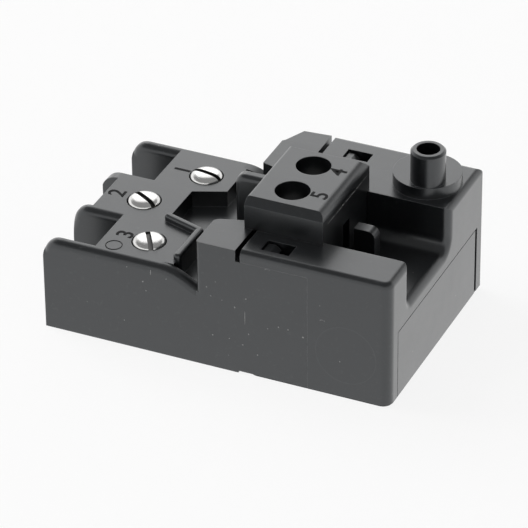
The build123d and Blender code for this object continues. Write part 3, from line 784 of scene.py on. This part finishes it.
@dataclass(frozen=True)
class ClampScrew:
    """A pan head screw with a slot across its crown and a wound thread, in millimetres.

    Args:
        number: The terminal that it clamps.
        x: Its axis along the body, in millimetres.
        y: Its axis across the body, in millimetres.
        seat: Height of the underside of its head, in millimetres.
        turn: Direction of its slot, in degrees from +X.
        head: Radius of the head.
        rise: Height of the head.
        side: Height of the head's upright side.
        slot_width: Width of the slot.
        slot_depth: Depth of the slot.
        core: Radius of the shank between the threads.
        crest: Radius of the thread's crest.
        length: Length of the shank.
        pitch: Rise of the thread in a turn.
        tip: Chamfer of the shank's tip.
        rounding: Chamfer under the head.
        run_in: Height over the tip where the thread starts.
        plain: Length of the shank that has no thread.
    """

    number: int
    x: float
    y: float
    seat: float
    turn: float
    head: float = 2.68
    rise: float = 2.62
    side: float = 1.7
    slot_width: float = 0.8
    slot_depth: float = 0.95
    core: float = 1.25
    crest: float = 1.45
    length: float = 3.65
    pitch: float = 0.5
    tip: float = 0.35
    rounding: float = 0.15
    run_in: float = 0.45
    plain: float = 0.7

    def outline(self) -> list[tuple[float, float]]:
        """Half section from the tip to the crown, as (radius, height over the seat)."""
        end = -self.length
        points = [(0.0, end), (self.core - self.tip, end), (self.core, end + self.tip)]
        points += [(self.core, 0.0), (self.head - self.rounding, 0.0), (self.head, self.rounding)]
        points.append((self.head, self.side))
        for step in range(1, CROWN_STEPS):
            angle = math.radians(90 * step / CROWN_STEPS)
            across = math.cos(angle) ** CROWN_ACROSS
            up = math.sin(angle) ** CROWN_UP
            points.append((self.head * across, self.side + (self.rise - self.side) * up))
        points.append((0.0, self.rise))
        return points

    def slotted(self, name: str, material: bpy.types.Material) -> bmesh.types.BMesh:
        """Turns the body and cuts the slot across its crown.

        Args:
            name: Name of the screw.
            material: Its plating.

        Returns:
            The mesh under construction.
        """
        turned = lathe(self.outline(), corner(self.x, self.y, self.seat), SCREW_FACETS, False)
        body = finish_mesh(name + "_body", turned, material, True)
        place = Matrix.Translation(corner(self.x, self.y, self.seat + self.rise))
        turn = Matrix.Rotation(math.radians(self.turn), 4, "Z")
        size = (3 * self.head * MM, self.slot_width * MM, 2 * self.slot_depth * MM, 1)
        cutter = bmesh.new()
        bmesh.ops.create_cube(cutter, size=1.0, matrix=place @ turn @ Matrix.Diagonal(size))
        slot = finish_mesh(name + "_slot", cutter, material, False)
        cut = body.modifiers.new("slot", "BOOLEAN")
        cut.operation = "DIFFERENCE"
        cut.solver = "EXACT"
        cut.object = slot
        graph = bpy.context.evaluated_depsgraph_get()
        whole = bmesh.new()
        whole.from_mesh(bpy.data.meshes.new_from_object(body.evaluated_get(graph)))
        body.modifiers.remove(cut)
        bpy.data.objects.remove(slot)
        bpy.data.objects.remove(body)
        return whole

    def shade_slot(self, whole: bmesh.types.BMesh) -> None:
        """Gives the slot's floor and walls the screw's second material, the darker metal that paints
        the slot's shade.
        """
        foot = corner(self.x, self.y, self.seat)
        back = Matrix.Rotation(math.radians(-self.turn), 3, "Z")
        floor = (self.seat + self.rise - self.slot_depth - SLOT_SLACK) * MM
        for face in whole.faces:
            centre = face.calc_center_median()
            facing = back @ face.normal
            off_axis = abs((back @ (centre - foot)).y)
            within = off_axis < SLOT_REACH * self.slot_width * MM and centre.z > floor
            square = facing.z > SLOT_SQUARE or abs(facing.y) > SLOT_SQUARE
            face.material_index = int(within and square)

    def build(
        self, coils: CoilTree, material: bpy.types.Material, shade: bpy.types.Material
    ) -> bpy.types.Object:
        """Builds the screw in its hole.

        Args:
            coils: The tree that winds the thread.
            material: Its plating.
            shade: Darker metal painted inside the slot as its shade.

        Returns:
            The screw as one mesh object.
        """
        name = f"screw_{self.number}"
        whole = self.slotted(name, material)
        rise = self.length - self.plain
        sizes = {
            "Turns": rise / self.pitch,
            "Radius": self.core * MM,
            "Height": rise * MM,
            "Wire": (self.crest - self.core) * MM,
            "Sides": 4,
        }
        start = Matrix.Translation(corner(self.x, self.y, self.seat - self.length + self.run_in))
        thread = coils.wind(name + "_thread", start, material, **sizes)
        whole.from_mesh(thread.data)
        bpy.data.objects.remove(thread)
        self.shade_slot(whole)
        made = finish_mesh(name, whole, material, True)
        made.data.materials.append(shade)
        made.data.set_sharp_from_angle(angle=SHARP_ANGLE)
        return made


# ---- sub-assemblies


@dataclass
class Housing:
    """The mouldings: base, cover, raised block and sheet, with their marks.

    Args:
        figures: The terminals' numbers.
        flecks: Single marks on the front face.
        disc: Middle of the ejector mark on the front face, as (x, z) in millimetres.
        cap_glint_line: Middle and half widths of the pale line painted along the raised block's cap
            edge as its highlight, in millimetres.
    """

    figures: tuple = (
        Digit("1", (11.6, 28.2, 16.4), 90.0),
        Digit("2", (4.9, 17.5, 16.4), 90.0),
        Digit("3", (11.6, 6.7, 16.4), 90.0),
        Digit("4", (42.85, 19.8, 28.2), 90.0, weight=0.015),
        Digit("5", (43.0, 12.2, 28.2), 90.0, weight=0.015),
    )
    flecks: tuple = (
        Fleck(28.77, 14.82),
        Fleck(29.49, 13.32, 0.12, 0.12),
        Fleck(35.56, 14.27),
        Fleck(33.61, 12.18, 0.13, 0.2),
        Fleck(29.72, 6.03),
        Fleck(32.61, 6.09, 0.12, 0.12),
        Fleck(34.9, 5.48, 0.18, 0.12),
        Fleck(37.46, 4.23),
        Fleck(39.27, 20.57, 0.5, 0.3, True),
        Fleck(45.3, 9.64, 0.22, 0.2),
        Fleck(48.57, 13.49, 0.6, 0.35, True),
        Fleck(41.1, 10.44, 0.12, 0.12),
        Fleck(35.95, 7.77, 0.12, 0.15),
        Fleck(39.26, 9.68, 0.12, 0.12),
        Fleck(42.74, 10.37),
        Fleck(31.42, 13.01, 0.1, 0.1),
        Fleck(14.89, 15.01, 0.12, 0.12),
        Fleck(17.64, 12.95),
        Fleck(18.17, 11.34, 0.12, 0.12),
        Fleck(21.75, 14.46, 0.1, 0.1),
        Fleck(35.34, 10.8, 0.06, 1.45),
        Fleck(19.06, 15.0, 0.06, 0.6),
        Fleck(51.53, 6.74, 0.14, 0.14),
    )
    disc: tuple[float, float] = (52.55, 8.13)
    # Painted highlight line along the lower edge of the raised block's cap.
    cap_glint_line: tuple = ((45.8, 16.4, 25.75), (0.3, 8.3, 0.09))

    def dress(self) -> None:
        """Paints the mouldings and adds the numbers."""
        base = MouldedPlastic("base_plastic", flecks=self.flecks)
        cover = MouldedPlastic("cover_plastic", dust=0.7, flecks=self.flecks, disc=self.disc)
        paint("housing_base", base.material())
        paint("housing_cover", cover.material())
        block = MouldedPlastic("block_plastic", dust=0.6, cap_glint_line=self.cap_glint_line)
        paint("terminal_block", block.material())
        flat = {"dust": 0.3, "edge": 0.0, "edge_highlight_and_wear": 0.0}
        sheet = MouldedPlastic("sheet_plastic", (0.007, 0.007, 0.008), 0.6, 0.2, **flat)
        paint("insulating_sheet", sheet.material())
        shadow = Marking("mark_shadow").material()
        for figure in self.figures:
            settle(figure.build(shadow), Body.HOUSING.value)
        settle(RingMark().build("ring_mark", shadow), Body.HOUSING.value)


@dataclass
class Clamps:
    """The five screw clamps: screws and the cages that they draw up.

    Args:
        coils: The tree that winds the threads.
        screws: The screws of terminals 1 to 5.
    """

    coils: CoilTree
    screws: tuple = (
        ClampScrew(1, 15.85, 27.975, 14.5, -10.0),
        ClampScrew(2, 9.8, 17.125, 14.5, -30.0),
        ClampScrew(3, 15.85, 6.275, 14.5, -58.0),
        ClampScrew(4, 38.4, 20.05, 22.1, 20.0),
        ClampScrew(5, 38.4, 11.85, 22.1, 75.0),
    )

    def dress(self) -> None:
        """Builds the screws and paints the cages."""
        bright = PlatedSteel("screw_plating").material()
        # Darker, rougher metal painted into the screws' slots as their shade.
        dull = PlatedSteel("screw_slot_painted_shade", (0.16, 0.158, 0.155), 0.5, 2.0).material()
        zinc = PlatedSteel("cage_plating", (0.6, 0.6, 0.58), 0.34, 1.6).material()
        for screw in self.screws:
            piece = screw.build(self.coils, bright, dull)
            settle(piece, f"screw_{screw.number}")
            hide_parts(f"clamp_screw_{screw.number}")
            paint(f"clamp_cage_{screw.number}", zinc)


@dataclass
class Mechanism:
    """The changeover mechanism: slider, springs, plungers, contacts and strips, in millimetres.

    Args:
        coils: The tree that winds the springs.
        sides: Name of each pole and its place across the body.
        plunger_x: The plungers' place along the body.
        spring_foot: Height of the plunger springs' lower end.
        spring_rise: Height of a plunger spring.
        spring_radius: Radius of a plunger spring.
        spring_wire: Half the thickness of its wire.
        spring_turns: Its turns.
        return_foot: The return spring's fixed end.
        return_length: Its length at rest.
        return_travel: How far the slider shortens it; not used.
        return_radius: Its radius.
        return_wire: Half the thickness of its wire.
        return_turns: Its turns.
    """

    coils: CoilTree
    sides: tuple = (("front", 11.85), ("rear", 20.05))
    plunger_x: float = 49.75
    spring_foot: float = 9.04
    spring_rise: float = 2.06
    spring_radius: float = 1.1
    spring_wire: float = 0.2
    spring_turns: float = 3.5
    return_foot: tuple[float, float, float] = (25.6, 15.95, 7.5)
    return_length: float = 8.4
    return_travel: float = 3.5
    return_radius: float = 2.2
    return_wire: float = 0.3
    return_turns: float = 5.0

    def wind_return(self, wire: bpy.types.Material) -> None:
        """Winds the slider's spring at its length at rest; nothing here shortens it as the slider is
        pressed.

        Args:
            wire: Its finish.
        """
        foot = corner(*self.return_foot)
        reach = self.return_length - 2 * self.return_wire
        along = Matrix.Rotation(math.pi / 2, 4, "Y")
        start = Matrix.Translation(foot + Vector((self.return_wire * MM, 0, 0))) @ along
        sizes = {
            "Turns": self.return_turns,
            "Radius": self.return_radius * MM,
            "Height": reach * MM,
            "Wire": self.return_wire * MM,
            "Sides": 12,
        }
        spring = self.coils.wind("spring_return", start, wire, **sizes)
        settle(spring, Body.HOUSING.value)
        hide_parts("return_spring")
        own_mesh(spring)

    def dress(self) -> None:
        """Paints the pieces inside the housing."""
        brass = PressedBrass("strip_brass_finish").material()
        turned = PressedBrass("plunger_brass_finish", (0.7, 0.47, 0.19)).material()
        silver = ContactSilver("contact_silver_finish").material()
        wire = PlatedSteel("spring_wire_finish", (0.42, 0.42, 0.43), 0.3, 2.0).material()
        paint("trigger_slider", MouldedPlastic("slider_plastic", dust=0.2).material())
        self.wind_return(wire)
        sizes = {
            "Turns": self.spring_turns,
            "Radius": self.spring_radius * MM,
            "Height": self.spring_rise * MM,
            "Wire": self.spring_wire * MM,
            "Sides": 10,
        }
        for side, depth in self.sides:
            paint(f"plunger_{side}", turned)
            start = Matrix.Translation(corner(self.plunger_x, depth, self.spring_foot))
            spring = self.coils.wind(f"spring_{side}", start, wire, **sizes)
            settle(spring, Body.SLIDER.value)
            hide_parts(f"plunger_spring_{side}")
            paint(f"rocker_contact_{side}", brass)
            paint(f"moving_tips_{side}", silver)
        for number in (2, 4, 5):
            paint(f"fixed_tip_{number}", silver)
        for number in (1, 2, 3, 4, 5):
            paint(f"contact_strip_{number}", brass)


# ---- studio


@dataclass(frozen=True)
class Lamp:
    """A soft square lamp that looks at the switch.

    Args:
        name: Name of the lamp.
        place: Where it stands.
        size: Length of its side.
        power: Watts.
        mirrored: Whether shiny surfaces mirror it.
    """

    name: str
    place: tuple[float, float, float]
    size: float
    power: float
    mirrored: bool = True

    def build(self) -> None:
        """Adds the lamp to the scene."""
        data = bpy.data.lights.new(self.name, "AREA")
        data.size = self.size
        data.energy = self.power
        place = Vector(self.place)
        lamp = bpy.data.objects.new(self.name, data)
        lamp.location = place
        lamp.visible_glossy = self.mirrored
        lamp.rotation_euler = (LAMP_AIM - place).to_track_quat("-Z", "Y").to_euler()
        bpy.context.scene.collection.objects.link(lamp)


@dataclass
class Studio:
    """Pale floor, soft lights and the camera at the photograph's angle.

    Args:
        lamps: The lamps.
        azimuth: The camera's turn from the front towards the trigger end, in degrees.
        elevation: Its angle over the floor, in degrees.
        roll: Its roll, in degrees.
        lens: Its focal length, in millimetres.
        sensor: Width of its sensor, in millimetres.
        clip: Nearest and farthest distance that it sees.
        camera_place: Its place, in millimetres from the front left lower corner.
        floor_reach: Radius of the flat floor.
        wall_bend: Radius of the bend from floor to wall.
        wall_height: Height of the wall.
        world_level: Strength of the surrounding light.
        camera_white: Share of plain white in what the camera sees of the floor.
    """

    lamps: tuple[Lamp, ...] = (
        Lamp("lamp_back", (-0.6, 1.3, 0.95), 1.0, 3.05),
        Lamp("lamp_fill", (-1.95, 0.2, 1.15), 2.0, 56.0, mirrored=False),
    )
    azimuth: float = 24.48
    elevation: float = 32.62
    roll: float = -0.595
    lens: float = 271.9
    sensor: float = 36.0
    clip: tuple[float, float] = (0.01, 20.0)
    camera_place: tuple[float, float, float] = (254.6, -474.1, 355.0)
    floor_reach: float = 2.2
    wall_bend: float = 0.8
    wall_height: float = 1.9
    world_level: float = 0.26
    camera_white: float = 0.88

    def pale(self, name: str, shade: float) -> bpy.types.Material:
        """Plain pale surface that gloss sees as plain white, and that shows the object's shadow.

        Args:
            name: Name of the material.
            shade: Diffuse grey.

        Returns:
            The material.
        """
        s = Shader(name)
        patch = s.noise(0.4, 2.0)
        s.drive("Base Color", s.mix(patch, (shade, shade, shade, 1), (shade * 0.99,) * 3 + (1,)))
        s.drive("Roughness", 0.9 + patch * 0.05)
        s.hold(Specular_IOR_Level=0.0)
        white = s.node("ShaderNodeEmission", {}, {"Color": (1, 1, 1, 1), "Strength": 1.0})
        glossy = s.node("ShaderNodeLightPath", {}, {}, "Is Glossy Ray")
        clear = s.node("ShaderNodeLightPath", {}, {}, "Is Transmission Ray")
        lens = s.node("ShaderNodeLightPath", {}, {}, "Is Camera Ray")
        share = glossy + clear + lens * self.camera_white
        lit = Value(s, s.bsdf.outputs[0])
        seen = s.node("ShaderNodeMixShader", {}, {0: share, 1: lit, 2: white})
        output = s.tree.get_output_node("ALL")
        s.tree.links.new(seen.socket, output.inputs["Surface"])
        return s.material

    def floor(self) -> None:
        """Builds a round floor whose rim rises into a wall."""
        profile = [(0.0, 0.0), (self.floor_reach, 0.0)]
        for step in range(1, BEND_STEPS + 1):
            angle = math.radians(90 * step / BEND_STEPS)
            out = self.floor_reach + self.wall_bend * math.sin(angle)
            profile.append((out, self.wall_bend * (1 - math.cos(angle))))
        profile.append((self.floor_reach + self.wall_bend, self.wall_height))
        outline = [(out / MM, up / MM) for out, up in profile]
        build = lathe(outline, Vector((0, 0, -FLOOR_GAP)), FLOOR_FACETS, False)
        made = finish_mesh("studio_floor", build, self.pale("studio_white", 0.9), True)

    def world(self) -> None:
        """Sets the even surrounding light."""
        world = bpy.data.worlds.new("studio_world")
        world.use_nodes = True
        background = world.node_tree.nodes["Background"]
        background.inputs["Color"].default_value = (1, 1, 1, 1)
        background.inputs["Strength"].default_value = self.world_level
        bpy.context.scene.world = world

    def camera(self) -> None:
        """Places the camera as in the photograph."""
        data = bpy.data.cameras.new("camera")
        data.lens = self.lens
        data.sensor_width = self.sensor
        data.clip_start, data.clip_end = self.clip
        camera = bpy.data.objects.new("camera", data)
        turn, lift = math.radians(self.azimuth), math.radians(self.elevation)
        level = math.cos(lift)
        back = Vector((math.sin(turn) * level, -math.cos(turn) * level, math.sin(lift)))
        aim = (-back).to_track_quat("-Z", "Y").to_matrix().to_4x4()
        roll = Matrix.Rotation(math.radians(self.roll), 4, "Z")
        camera.matrix_world = Matrix.Translation(corner(*self.camera_place)) @ aim @ roll
        bpy.context.scene.collection.objects.link(camera)
        bpy.context.scene.camera = camera

    def build(self) -> None:
        """Builds the whole studio."""
        self.floor()
        self.world()
        for lamp in self.lamps:
            lamp.build()
        self.camera()
        bpy.context.scene.view_settings.view_transform = "Standard"


def main() -> None:
    """Builds the switch's looks and the studio."""
    logging.basicConfig(level=logging.INFO, format="%(message)s")
    coils = CoilTree()
    for assembly in (Housing(), Clamps(coils), Mechanism(coils)):
        log.info("dressing %s", type(assembly).__name__)
        assembly.dress()
    Studio().build()


if __name__ == "__main__":
    main()
